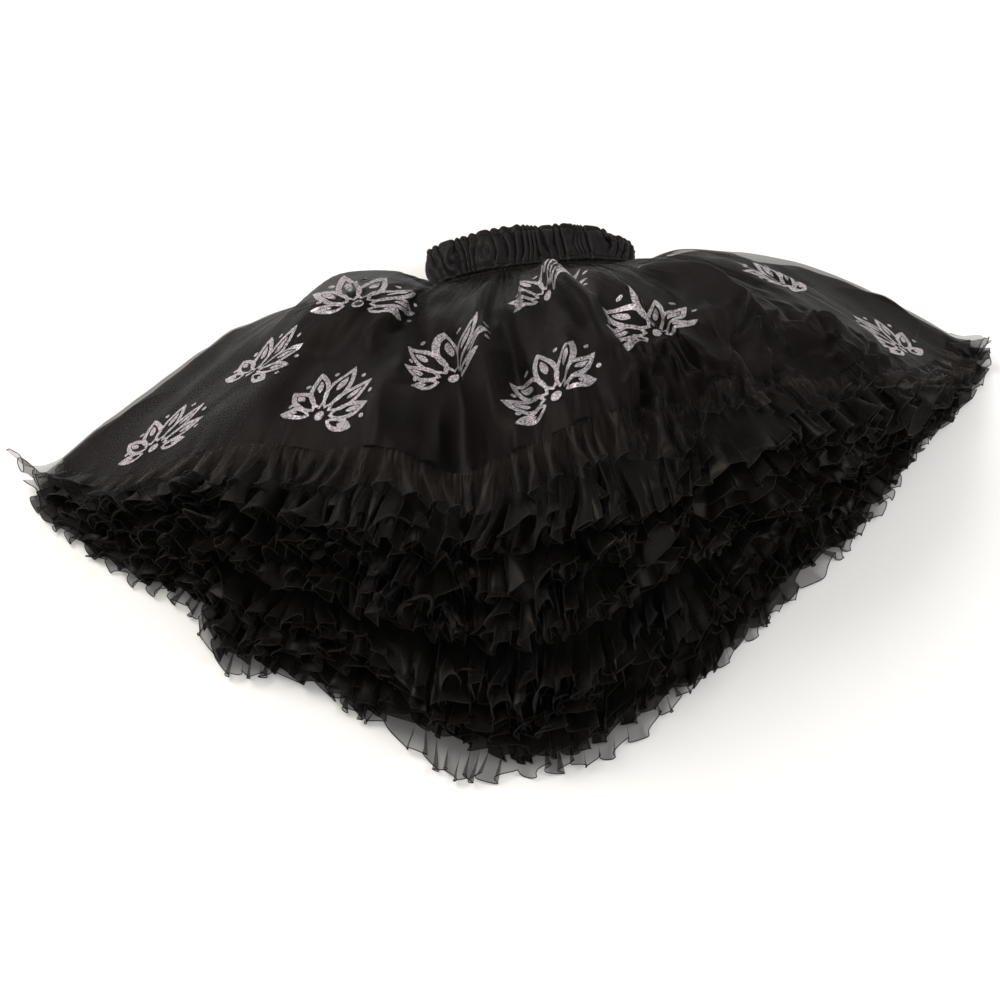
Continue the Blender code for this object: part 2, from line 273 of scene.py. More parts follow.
# %% A sheet from a placing function
def cloth_sheet(name, columns, rows, place, closed=False):
    """A grid of columns by rows, moved to place(across, down) in millimetres."""
    form = bmesh.new()
    form.loops.layers.uv.new("flat_cloth")
    bmesh.ops.create_grid(form, x_segments=columns, y_segments=rows, size=1.0, calc_uvs=True)
    mesh = finished(form, name)
    flat = np.empty(len(mesh.vertices) * 3)
    mesh.vertices.foreach_get("co", flat)
    flat = (flat.reshape(-1, 3) + 1.0) / 2.0
    across, down = flat[:, 0], flat[:, 1]
    points = place(across, down)
    mesh.vertices.foreach_set("co", (points * MM).ravel())
    grid = points.reshape(rows + 1, columns + 1, 3)
    wide = np.linalg.norm(np.diff(grid, axis=1), axis=2).sum(axis=1)
    tall = np.linalg.norm(np.diff(grid, axis=0), axis=2).sum(axis=0)
    flat_size = float(wide.mean()), float(np.median(tall))
    scale_map(mesh, flat_size)
    if closed:
        join_ends(mesh)
    mesh.update()
    mesh.shade_smooth()
    return put(name, mesh), flat_size


def scale_map(mesh, flat_size):
    """Stretch a 0 to 1 UV map to the sheet's flat size in millimetres."""
    spots = np.empty(len(mesh.loops) * 2)
    mesh.uv_layers[0].data.foreach_get("uv", spots)
    spots = spots.reshape(-1, 2) * np.array(flat_size)
    mesh.uv_layers[0].data.foreach_set("uv", spots.ravel())


def join_ends(mesh):
    """Sew the first column of a ring to its last one."""
    form = bmesh.new()
    form.from_mesh(mesh)
    bmesh.ops.remove_doubles(form, verts=form.verts, dist=MM * 0.01)
    bmesh.ops.recalc_face_normals(form, faces=form.faces)
    form.to_mesh(mesh)
    form.free()


# %% Unevenness that is the same on every run
SWELL_COLUMNS, SWELL_LINES = 977, 31
RIDGE_COSINE, RIDGE_SINE = 0.82, 0.57  # the turn of the ridges against the cloth's own lines
RIDGE_BEND, BEND_PACE = 0.9, 0.8  # how far a ridge bends, in swells, and how often
BEND_START = 7.0
RIDGE_SLOPE = 2.6  # how steeply the cloth falls away from a ridge
LUMP_SHARE, LUMP_PACE = 0.35, 2.1  # the smaller lumps between the ridges


def wander(along, aside, seed):
    """A smooth wandering value from -1 to 1, with about one swell for each step."""
    swells = np.random.default_rng(seed).uniform(-1.0, 1.0, (SWELL_COLUMNS, SWELL_LINES))
    along, aside = np.broadcast_arrays(np.asarray(along, dtype=float), aside)
    column, line = np.floor(along).astype(int), np.floor(aside).astype(int)
    right, up = ease(along - column), ease(aside - line)

    def swell(columns, lines):
        return swells[(column + columns) % SWELL_COLUMNS, (line + lines) % SWELL_LINES]

    return mix(mix(swell(0, 0), swell(1, 0), right), mix(swell(0, 1), swell(1, 1), right), up)


def crumple(along, aside, seed):
    """Sharp ridges, at 1, between soft hollows, as crisp cloth has them."""
    along, aside = (RIDGE_COSINE * along + RIDGE_SINE * aside,
                    RIDGE_COSINE * aside - RIDGE_SINE * along)
    bent = along + RIDGE_BEND * wander(BEND_PACE * along, BEND_PACE * aside, seed + 1)
    turned = wander(BEND_PACE * along + BEND_START, BEND_PACE * aside, seed + 2)
    turned = aside + RIDGE_BEND * turned
    ridges = 1.0 - RIDGE_SLOPE * np.abs(wander(bent, turned, seed))
    return ridges - LUMP_SHARE * wander(LUMP_PACE * bent, LUMP_PACE * turned, seed + 3)


# %% Unevenness from a table's row
# A stray row says how large the unevenness is, how many swells it has for each step along the
# cloth and for each step down it, and its seed, which is added to the piece's own.
def stray(row, along, down=0.0, seed=0, draw=wander):
    size, pace_along, pace_down, number = row
    return size * draw(pace_along * along, pace_down * down, seed + number)


def crumples(rows, bearing, run):
    """Crumples from a table: size, degrees and slant of a ridge, ridges down the run, and seed."""
    return sum(size * crumple(bearing / degrees + slant * run, pace * run, seed)
               for size, degrees, slant, pace, seed in rows)


# %% Directions on the form
BEARING_STEP, RUN_STEP = 0.25, 0.004


def unit(ways):
    return ways / np.maximum(np.linalg.norm(ways, axis=-1, keepdims=True), 1e-9)


def directions(layer, half, bearing, run):
    """Unit vectors along the hem, down towards it, and out of the cloth, at each point."""
    along = (layer_point(layer, half, bearing + BEARING_STEP, run)
             - layer_point(layer, half, bearing - BEARING_STEP, run))
    down = (layer_point(layer, half, bearing, run + RUN_STEP)
            - layer_point(layer, half, bearing, run - RUN_STEP))
    return unit(along), unit(down), unit(np.cross(down, along))


# %% [markdown]
# ## The materials
#
# Black cloth is not one flat black. Organza is a crisp, plain weave of fine shiny yarn that lets
# the light floor through wherever a single layer lies over it. The net below is duller, and the
# casing is a satin. Each material gets a woven bump from its sheet's UV map, a slow change of
# shade, and a soft sheen set on the shader itself.


# %% Helpers for material nodes
WAVE_PERIOD = 0.314  # how far apart a wave texture's bands are at a scale of 1
YARN_HEIGHT = 0.00008


def new_material(name):
    material = bpy.data.materials.new(name)
    material.use_nodes = True
    return material, material.node_tree.nodes, material.node_tree.links


def add_node(nodes, kind, **values):
    """A node with its inputs set by name."""
    node = nodes.new(kind)
    for key, value in values.items():
        socket = next((s for s in node.inputs if s.name.replace(" ", "_").lower() == key), None)
        if socket is None:
            setattr(node, key, value)
        else:
            socket.default_value = value
    return node


def wire(links, *rows):
    """Join a node's output to another node's input, for each row."""
    for source, output, target, socket in rows:
        links.new(source.outputs[output], target.inputs[socket])


def two_shades(nodes, dark, dark_at, light, light_at):
    """A colour ramp from one colour to another between two values."""
    shades = add_node(nodes, "ShaderNodeValToRGB")
    for element, colour, at in zip(shades.color_ramp.elements, (dark, light), (dark_at, light_at)):
        element.color = (*colour, 1.0)
        element.position = at
    return shades


def woven_bump(nodes, links, yarn, depth):
    """A plain weave: two crossed waves in the flat cloth's own millimetres."""
    places = add_node(nodes, "ShaderNodeUVMap", uv_map="flat_cloth")
    warp = add_node(nodes, "ShaderNodeTexWave", bands_direction="X", scale=WAVE_PERIOD / yarn)
    weft = add_node(nodes, "ShaderNodeTexWave", bands_direction="Y", scale=WAVE_PERIOD / yarn)
    both = add_node(nodes, "ShaderNodeMath", operation="MAXIMUM")
    bump = add_node(nodes, "ShaderNodeBump", strength=depth, distance=YARN_HEIGHT)
    wire(links, (places, 0, warp, "Vector"), (places, 0, weft, "Vector"),
         (warp, "Fac", both, 0), (weft, "Fac", both, 1), (both, 0, bump, "Height"))
    return bump


# %% A cloth material
CLOTH_COLUMNS = ("dark", "light", "roughness", "sheen", "yarn", "depth", "alpha", "gloss")
ROUGHNESS_CHANGE = 0.06


def black_cloth(name, dark, light, roughness, sheen, yarn, depth, alpha, gloss):
    """Woven black cloth whose shade and roughness wander between two values."""
    material, nodes, links = new_material(name)
    shader = nodes["Principled BSDF"]
    for socket, value in (("Sheen Weight", sheen), ("Sheen Roughness", 0.35),
                          ("Sheen Tint", (0.9, 0.87, 0.85, 1.0)), ("Specular IOR Level", gloss),
                          ("Specular Tint", (1.0, 0.90, 0.83, 1.0)), ("Alpha", alpha)):
        shader.inputs[socket].default_value = value
    where = add_node(nodes, "ShaderNodeTexCoord")
    cloudy = add_node(nodes, "ShaderNodeTexNoise", scale=38.0, detail=3.0, roughness=0.6)
    shades = two_shades(nodes, dark, 0.35, light, 0.68)
    rough = add_node(nodes, "ShaderNodeMapRange", from_min=0.3, from_max=0.7,
                     to_min=roughness - ROUGHNESS_CHANGE, to_max=roughness + ROUGHNESS_CHANGE)
    bump = woven_bump(nodes, links, yarn, depth)
    wire(links, (where, "Object", cloudy, "Vector"), (cloudy, "Fac", shades, "Fac"),
         (cloudy, "Fac", rough, "Value"), (shades, "Color", shader, "Base Color"),
         (rough, "Result", shader, "Roughness"), (bump, "Normal", shader, "Normal"))
    return material


# %% The black cloths
CLOTHS = {
    "printed_organza": ((0.0030, 0.0021, 0.0020), (0.0076, 0.0053, 0.0049),
                        0.52, 0.014, 0.45, 0.04, 0.74, 0.085),
    "trim_organza": ((0.0068, 0.0050, 0.0040), (0.0145, 0.0110, 0.0090),
                     0.42, 0.05, 0.45, 0.05, 0.46, 0.13),
    "ruffle_organza": ((0.0024, 0.0021, 0.0018), (0.0078, 0.0069, 0.0061),
                       0.40, 0.10, 0.45, 0.06, 0.78, 0.13),
    "petticoat_net": ((0.0022, 0.0019, 0.0018), (0.0048, 0.0042, 0.0040),
                      0.62, 0.02, 1.1, 0.03, 0.93, 0.13),
    "casing_satin": ((0.0026, 0.0020, 0.0026), (0.0064, 0.0052, 0.0066),
                     0.50, 0.05, 0.40, 0.20, 1.0, 0.13),
    "edge_thread": ((0.0036, 0.0032, 0.0029), (0.0084, 0.0074, 0.0066),
                    0.45, 0.06, 0.30, 0.3, 1.0, 0.13),
}
cloths = {name: black_cloth(name, **dict(zip(CLOTH_COLUMNS, row))) for name, row in CLOTHS.items()}
print("cloth materials:", len(cloths))

# %% [markdown]
# ## The waistband
#
# The band is a satin casing drawn up by the elastic inside it. Its gathers wander a little, and are
# pinched at the two stitched lines that hold the elastic. It is a ring-shaped grid whose outline
# swells and dips, and a Solidify modifier gives it its wall.

# %% Gathers of the band
BAND_GATHERS = 54
STEPS_PER_GATHER, BAND_ROWS = 11, 28
STITCH_LINES = (0.10, 0.86)  # where the elastic is stitched in, along the band's length
PINCH_WIDTH = 0.045
PINCH_DEPTH, PINCH_HOLD = 1.0, 0.6  # how deep a line pinches, and how much it flattens a gather
JOIN_PACE = 14.0
BAND_DROOP = 12.0  # how far the free edge sags towards the seam at its right end
DROOP_START = 0.25
BAND_CLEARANCE = 1.2
CASING_WALL = 1.6
GATHER_DEPTH, EDGE_GATHER = 1.15, 0.4  # the second is the share left at the band's edges
PUFF_POWER = 0.6
GATHER_SHARPNESS = 0.35
BAND_DRIFTS = ((1.1, 27.0, 0.0, 21), (0.7, 38.0, 2.3, 22))  # stray rows, as are the next four
BAND_DEPTHS = (0.95, 33.0, 1.6, 23)
BAND_LUMPS = (2.3, 13.0, 1.2, 24)
BAND_CRUMPLES = (0.7, 41.0, 3.4, 26)
BAND_EDGE = (2.4, 15.0, 0.0, 25)
EDGE_SCALLOP = 0.6


def oval_turns(share):
    """Turns round the waist oval at even shares of its length, from its underside on."""
    fine = np.linspace(0.0, math.tau, 2001)
    middle = (fine[1:] + fine[:-1]) / 2
    steps = np.hypot(BAND_HALF_WIDTH * np.cos(middle), BAND_HALF_HEIGHT * np.sin(middle))
    lengths = np.concatenate([[0.0], np.cumsum(steps)])
    return np.interp(share, lengths / lengths[-1], fine) + math.pi


def band_point(across, down):
    """across goes round the band from its underside, and down from the seam to the free edge."""
    turn = oval_turns(across)
    ring = np.minimum(1.0, JOIN_PACE * np.minimum(across, 1.0 - across))
    pinch = sum(np.exp(-((down - line) / PINCH_WIDTH) ** 2) for line in STITCH_LINES)
    drift = sum(stray(row, across, down) for row in BAND_DRIFTS)
    phase = math.tau * (BAND_GATHERS * across + ring * drift)
    depth = GATHER_DEPTH + ring * stray(BAND_DEPTHS, across, down)
    gather = depth * (np.sin(phase) + GATHER_SHARPNESS * np.sin(2.0 * phase + 1.0))
    gather = gather * (1.0 - PINCH_HOLD * pinch)
    body = np.sin(math.pi * np.clip(down, 0.0, 1.0)) ** PUFF_POWER
    lumps = stray(BAND_LUMPS, across, down) + stray(BAND_CRUMPLES, across, down, draw=crumple)
    proud = (BAND_PUFF + ring * lumps - PINCH_DEPTH * pinch) * body
    proud = proud + gather * mix(EDGE_GATHER, 1.0, body)
    outward = unit(np.stack([BAND_HALF_HEIGHT * np.sin(turn), 0.0 * turn,
                             BAND_HALF_WIDTH * np.cos(turn)], axis=-1))
    droop = BAND_DROOP * ramp(np.sin(turn), DROOP_START, 1.0)
    uneven = stray(BAND_EDGE, across) + EDGE_SCALLOP * np.sin(phase)
    edge = (ring * uneven - droop) * ease(down) ** 2
    centre = np.stack([WAIST_X + BAND_HALF_WIDTH * np.sin(turn),
                       WAIST_Y + BAND_LENGTH * down + edge,
                       BAND_MIDDLE + BAND_HALF_HEIGHT * np.cos(turn)], axis=-1)
    points = centre + outward * proud[..., None]
    points[..., 2] = np.maximum(points[..., 2], BAND_CLEARANCE)
    return points


# %% Make the band
band, band_flat = cloth_sheet("waistband_casing", BAND_GATHERS * STEPS_PER_GATHER, BAND_ROWS,
                              band_point, closed=True)
band.data.materials.append(cloths["casing_satin"])
wall = band.modifiers.new("casing_wall", "SOLIDIFY")
wall.thickness = CASING_WALL * MM
wall.offset = 0.0
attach(band, "root")
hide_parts("waistband")
print("waistband, flat:", [round(size) for size in band_flat], "mm")


# %% Rows of stitches
STITCH_LENGTH, STITCH_PITCH, STITCH_RADIUS = 2.3, 3.2, 0.28
STITCH_SIDES = 6
ROW_SHARE = 0.8  # a stitched row's length, as a share of the casing's own
BAND_STEP, BODY_STEP = 0.001, 0.01


def stitch_row(name, centres, ways, outs):
    """Short thread loops that lie on the cloth, each a thin rod along its row."""
    form = bmesh.new()
    for centre, way, out in zip(centres, ways, outs):
        rod = bmesh.ops.create_cone(form, cap_ends=True, segments=STITCH_SIDES,
                                    radius1=STITCH_RADIUS * MM, radius2=STITCH_RADIUS * MM,
                                    depth=STITCH_LENGTH * MM)
        turn = Vector(way).to_track_quat("Z", "Y").to_matrix()
        place = Vector(centre + out * STITCH_RADIUS) * MM
        bmesh.ops.rotate(form, verts=rod["verts"], matrix=turn)
        bmesh.ops.translate(form, verts=rod["verts"], vec=place)
    piece = put(name, finished(form, name))
    piece.data.materials.append(cloths["edge_thread"])
    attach(piece, "root")
    print(name, "stitches:", len(centres))


# %% Stitch the elastic in
for line, name in zip(STITCH_LINES, ("waist_seam_stitches", "top_edge_stitches")):
    stitches = band_flat[0] * ROW_SHARE / STITCH_PITCH
    share = np.arange(0.5, stitches) / stitches
    level = np.full_like(share, line)
    centres = band_point(share, level)
    ways = unit(band_point(share + BAND_STEP, level) - band_point(share - BAND_STEP, level))
    body_ways = band_point(share, level + BODY_STEP) - band_point(share, level - BODY_STEP)
    outs = unit(np.cross(ways, body_ways))
    from_middle = (centres - np.array([WAIST_X, 0.0, BAND_MIDDLE])) * np.array([1.0, 0.0, 1.0])
    outs = outs * np.sign(np.sum(outs * from_middle, axis=-1))[:, None]
    stitch_row(name, centres + outs * CASING_WALL / 2, ways, outs)

# %% [markdown]
# ## The plain panels
#
# The overskirt's front panel shows most, so it gets the creases that crisp organza takes: short
# gathers that fan out of the waist seam, long ridges towards the hem, and small crumples between
# them. The ridges are listed in a table, uneven as the real ones are. The other panels
# need only the gathers. At the sides the nets reach past the overskirt in some places and fall
# short of it in others, so that no side runs in one clean curve.

# %% Creases of the overskirt's front, in the same columns as the folds
FRONT_CREASES = (
    (-66, -64, 0.10, 0.95, 3.0, 2.2),
    (-58, -59, 0.02, 0.50, 4.0, 2.4),
    (-52, -47, 0.25, 1.10, -3.5, 2.0),
    (-44, -36, 0.05, 0.70, 4.5, 2.2),
    (-38, -31, 0.35, 1.05, 3.0, 1.6),
    (-33, -17, 0.04, 1.12, -8.0, 2.3),
    (-26, -10, 0.10, 1.10, 8.0, 2.4),
    (-18, -7, 0.20, 1.05, -5.0, 1.6),
    (-24, -23, 0.45, 1.15, 3.5, 1.4),
    (-19, -20, 0.02, 0.55, 5.0, 2.2),
    (-12, -13, 0.30, 1.10, -4.0, 1.8),
    (-7, -8, 0.05, 0.60, 4.5, 1.8),
    (-1, -2, 0.40, 1.15, 4.0, 1.5),
    (-3, 8, 0.04, 0.78, 8.5, 2.0),
    (4, 22, 0.10, 0.80, 7.0, 2.3),
    (5, 3, 0.02, 0.50, -4.0, 1.8),
    (9, 9, 0.30, 1.05, -3.5, 1.4),
    (17, 12, 0.05, 0.65, 5.0, 2.0),
    (22, 20, 0.40, 1.15, 4.5, 1.6),
    (26, 38, 0.08, 0.85, 7.5, 2.3),
    (29, 23, 0.05, 0.60, -4.0, 2.0),
    (33, 31, 0.35, 1.10, 4.0, 1.5),
    (41, 33, 0.02, 0.70, 4.5, 2.2),
    (45, 43, 0.40, 1.10, 3.5, 1.6),
    (51, 47, 0.05, 0.65, -3.5, 1.8),
    (57, 55, 0.30, 1.05, 3.0, 1.8),
    (64, 60, 0.05, 0.70, 3.5, 2.2),
)
CREASE_HEIGHT = 1.5
CREASE_ENDING = 2.0
FRONT_CRUMPLES = ((1.6, 7.0, 1.5, 3.6, 3), (0.7, 3.4, 2.0, 6.0, 5))

# %% Gathers at the waist seam, and puckers at the hem seam
PANEL_GATHERS = 44  # of one half
GATHER_HEIGHT = 1.5
GATHER_RUN = 0.13  # share of its run in which a gather has mostly opened out
SEAM_HOLD, SEAM_RUN = 0.35, 0.05  # how flat the seam holds the gathers, and for how long
GATHER_TURNS = (3.0, 13.0, 0.0, 0)  # stray rows, as are the next three
GATHER_DEPTHS = (0.8, 21.0, 0.0, 1)
GATHER_RUNS = (0.8, 17.0, 0.0, 2)
PUCKERS = (1.1, 1.15, 0.0, 35)
PUCKER_RUN = 0.035


def gathered(layer, bearing, run, seed):
    """The short gathers at the waist: deep at the seam and gone further down."""
    share = bearing / side_of(layer)
    phase = math.tau * PANEL_GATHERS * (share + 1) / 2 + stray(GATHER_TURNS, share, seed=seed)
    depth = 1.0 + stray(GATHER_DEPTHS, share, seed=seed)
    opening = np.exp(-run / (GATHER_RUN * (1.0 + stray(GATHER_RUNS, share, seed=seed))))
    return depth * np.sin(phase) * opening * mix(SEAM_HOLD, 1.0, ease(run / SEAM_RUN))


# %% Bunched folds
BUNCH_HEIGHT = 8.0
BUNCH_RISE, BUNCH_FALL = (-2.0, 7.0), (62.0, 53.0)  # bearings between which they grow and fade
BUNCH_START, BUNCH_RUN = 0.60, 0.20  # where on the run they start, and how fast they grow there
EARLIER, EARLIER_AT = 0.07, (15.0, 35.0)
LATER, LATER_AT = 0.17, (46.0, 53.0)
BUNCH_CRUMPLES = ((1.0, 5.5, 2.4, 6.0, 31), (0.6, 2.4, 0.0, 12.0, 33))


def bunched(bearing, run):
    """The right of the overskirt's front hem is pushed up, and lies in short crumpled folds."""
    start = BUNCH_START - EARLIER * ramp(bearing, *EARLIER_AT) + LATER * ramp(bearing, *LATER_AT)
    share = ramp(bearing, *BUNCH_RISE) * ramp(bearing, *BUNCH_FALL)
    share = share * ramp(run, start, start + BUNCH_RUN)
    return BUNCH_HEIGHT * share * crumples(BUNCH_CRUMPLES, bearing, run)


# %% Straying sides
SIDE_SPREAD = {"overskirt": 1.1, "outer": 2.9, "middle": 2.0, "inner": 1.0}  # in degrees
SIDE_POWER = 7
SIDE_START = 0.2
SIDE_END = (0.88, 0.73)  # runs between which the overskirt's fades
SIDE_SWELLS, SIDE_RIPPLES = (1.0, 5.5, 1.0, 41), (0.4, 15.0, 1.0, 42)
LAYER_OFFSET = 2.0  # run from one layer's swells to the next one's
NET_STRAY = 0.25
NET_DRAW, NET_DRAW_RUN = 1.9, 0.15  # how far and how long the nets draw in
LEFT_DRAW, RIGHT_DRAW = 0.50, 0.46  # the run at which they do


def side_shift(layer, bearing, run):
    """Degrees by which a panel's side fold strays, so that no side runs in one clean curve."""
    share = bearing / side_of(layer)
    line = 2.0 * np.sign(bearing) + 3.0
    uneven = stray(SIDE_SWELLS, run + LAYER_OFFSET * layer_value(layer, "inset"), line)
    uneven = uneven + stray(SIDE_RIPPLES, run, line)
    if layer == "overskirt":
        uneven = uneven * ramp(run, *SIDE_END)
    else:
        drawn = (run - np.where(bearing < 0, LEFT_DRAW, RIGHT_DRAW)) / NET_DRAW_RUN
        uneven = 1.0 + NET_STRAY * uneven - NET_DRAW * np.exp(-drawn ** 2)
    return SIDE_SPREAD[layer] * uneven * ease(run / SIDE_START) * share ** SIDE_POWER


# %% The surface of a panel
FIRST_RUN = 0.01  # the first place on the run where its direction is clear
EDGE_POWER = 8
BACK_SHARE = 0.5


def seam_run(layer, half, bearing):
    """The run at which a panel ends in its ruffle's seam."""
    width = TRIM_WIDTH if layer == "overskirt" else FLOUNCE_WIDTH
    return 1.0 - width / layer_reach(layer, half, bearing)


def neck_point(layer, half, bearing, share):
    """The straight stretch below the band, from the seam at 0 to the neck's end at 1."""
    end = layer_point(layer, half, bearing, np.zeros_like(bearing))
    length = NECK + NECK_STEP * layer_value(layer, "inset")
    return end + np.stack([0 * share, length * (1.0 - share), 0 * share], axis=-1)


def panel_point(layer, half, bearing, run, seed):
    """The form with the panel's own gathers, creases and straying side."""
    bearing = bearing + side_shift(layer, bearing, run)
    points = layer_point(layer, half, bearing, run)
    out = directions(layer, half, bearing, np.maximum(run, FIRST_RUN))[2]
    lift = GATHER_HEIGHT * gathered(layer, bearing, run, seed)
    if (layer, half) == STACK[-1]:
        open_cloth = np.sin(math.pi * np.clip(run, 0.0, 1.0))
        lift = lift + CREASE_HEIGHT * lift_of(FRONT_CREASES, bearing, run, CREASE_ENDING)
        lift = lift + crumples(FRONT_CRUMPLES, bearing, run) * open_cloth
        pucker = np.exp(-(seam_run(layer, half, bearing) - run) / PUCKER_RUN)
        lift = lift + stray(PUCKERS, bearing) * np.minimum(pucker, 1.0)
        lift = lift + bunched(bearing, run)
    side = 1.0 - np.minimum(np.abs(bearing / side_of(layer)), 1.0) ** EDGE_POWER
    return points + out * (lift * side * (1.0 if half == "front" else BACK_SHARE))[..., None]


# %% Make one panel
NECK_ROWS = 2
ROW_CROWDING = 1.3
PANEL_CLEARANCE = 0.35


def add_panel(name, node, layer, half, grid, cloth, seed):
    """A plain panel from the waist seam to its ruffle's seam."""
    columns, rows = grid
    neck_share = NECK_ROWS / rows

    def place(across, down):
        bearing = side_of(layer) * (2.0 * across - 1.0)
        run = np.clip((down - neck_share) / (1.0 - neck_share), 0.0, 1.0) ** ROW_CROWDING
        points = panel_point(layer, half, bearing, run * seam_run(layer, half, bearing), seed)
        straight = neck_point(layer, half, bearing, np.clip(down / neck_share, 0.0, 1.0))
        points = np.where((down < neck_share - 1e-6)[..., None], straight, points)
        points[..., 2] = np.maximum(points[..., 2], PANEL_CLEARANCE)
        return points

    piece, flat = cloth_sheet(name, columns, rows, place)
    piece.data.materials.append(cloth)
    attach(piece, "root")
    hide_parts(node)
    print(name, "flat:", [round(size) for size in flat], "mm,", len(piece.data.polygons), "faces")


# %% Make the panels
FRONT_GRID, BACK_GRID, NET_GRID = (420, 84), (300, 40), (230, 30)
OVERSKIRT_SEEDS = {"front": 1, "back": 2}
FIRST_NET_SEED = 5
add_panel("overskirt_front_panel", "overskirt_front", "overskirt", "front", FRONT_GRID,
          cloths["printed_organza"], OVERSKIRT_SEEDS["front"])
add_panel("overskirt_back_panel", "overskirt_back", "overskirt", "back", BACK_GRID,
          cloths["printed_organza"], OVERSKIRT_SEEDS["back"])
for number, (layer, half) in enumerate(STACK[1:-1]):
    add_panel("net_" + layer + "_" + half, "petticoat_" + layer + "_" + half, layer, half,
              NET_GRID, cloths["petticoat_net"], FIRST_NET_SEED + number)

# %% [markdown]
# ## The ruffles
#
# A ruffle is a long strip gathered into a shorter seam. Towards its free edge it has to bend from
# side to side to find room for its length. Seen from that edge it is a row of loops that are
# narrower at the neck than at the head. Two sines make such a loop: one across the cloth, and one
# of twice its pace along the seam. Everything about the loops wanders, and each strip keeps mostly
# to the room that its layer has.

# %% The strips of one layer, a row for each
# A strip is sewn at its root, in millimetres before the hem, and ends past the hem. Its drop is
# how far its free edge stands off its panel, upwards or downwards.
STRIP_COLUMNS = ("kind", "root", "past", "drop", "waves", "depth")
TRIMS = (
    ("trim", 28, 1, 0, 54, 7.5),
)
FLOUNCES = (
    ("flounce", 52, 0, 0, 36, 12.5),
    ("upper_frill", 40, -3, 7, 40, 11.0),
    ("lower_frill", 36, -5, -7, 45, 10.0),
)
TUCKED = (-5, -4, -3, -1, 0, 0, 0, 0)  # how far each layer's strips stop short, from the floor up
STEPS_PER_LOOP = 24
RUFFLE_ROWS = 9

# %% How the loops of a strip wander, in stray rows
STRAYS = {
    "hem": (8.0, 0.42, 0.0, 0),  # how far the free edge reaches
    "turn": (0.46, 0.62, 0.0, 1),  # where a loop stands, in loops
    "size": (0.55, 0.90, 0.0, 2),  # how large it is
    "lean": (0.60, 1.10, 0.0, 3),  # how far its head overhangs its neck
    "flip": (11.0, 0.55, 0.0, 4),  # how far its edge turns up
    "fine": (1.0, 1.25, 3.2, 5),  # fine crumples
    "drawn": (0.9, 0.70, 0.0, 6),  # where its edge is drawn in
    "tip": (4.0, 0.80, 0.0, 8),  # how far a trim reaches at the side
    "flare": (6.0, 0.90, 0.0, 9),  # how far it stands up there
    "bend": (1.9, 0.90, 2.2, 10),  # how a loop bends on its way down
    "slip": (3.5, 0.80, 2.0, 20),  # how it slips along the seam
}
SEEDS_PER_STRIP = 40

# %% Swells of whole stretches: size, degrees, lines for each layer and each strip, and seed
CALM = (0.9, 8.0, 0.9, 0.0, 7)
FLOP_OUT = (9.5, 4.5, 0.8, 0.35, 11)
FLOP_ALONG = (9.5, 4.0, 0.9, 0.5, 12)


def stretch(row, bearing, strip):
    size, degrees, per_layer, per_strip, seed = row
    line = per_layer * strip["seat"] + per_strip * strip["order"]
    return size * wander(bearing / degrees, line, seed)


# %% The shape of a loop
LOOP_LEAN = 0.17  # how far a loop's head overhangs its neck, as a share of its length
OPENING_POWER = 1.15
CALM_MIDDLE, TRIM_CALM = 0.62, 0.8
SMALLEST_LOOP, LOOP_RANGE = 0.25, 0.85
RIPPLE, RIPPLE_PACE = 0.30, 2.6  # a second, smaller swing near the free edge
DRAWN_IN, FLIP_DRAW = 3.0, 0.9
GATHER_SIZE, GATHERS_PER_LOOP = 0.55, 3.0
FINE_DEPTH = (1.2, 0.9)  # of the fine crumples, and what softness adds to it
TRIM_SOFT = (0.4, 0.5)  # a trim's softness, and what is added where it is pushed up
PUSHED_RISE, PUSHED_FALL = (-2.0, 12.0), (64.0, 52.0)  # bearings
TIP_AT = (64.0, 71.0)  # bearings over which a trim's side tip begins
TIP_REACH, TIP_STEADY = 2.0, 0.8
LEFT_FLARE, RIGHT_FLARE = 13.0, 7.0
FLOOR_CLEARANCE, FLOOR_BOUNCE = 0.4, 0.25
LOWEST_SWING, LOWEST_FINE = 0.5, 0.4

# %% Room between the layers
FREE_ROOM = 30.0
ROOM_SHARE, ROOM_MORE = 1.25, 1.5
DROP_ROOM, FLOP_ROOM = 9.0, 10.0  # room that a full drop and a full flop need


def room(layer, half, bearing):
    """Half of the space to the nearest layers at the hem, in millimetres."""
    own = layer_height(layer, half, bearing, 1.0)
    at = STACK.index((layer, half))
    spaces = []
    for other in STACK[max(at - 1, 0):at + 2]:
        if other != (layer, half):
            inside = np.abs(bearing) <= layer_value(other[0], "side_bearing")
            space = np.abs(layer_height(*other, bearing, 1.0) - own)
            spaces.append(np.where(inside, space, FREE_ROOM))
    return np.minimum.reduce(spaces) / 2


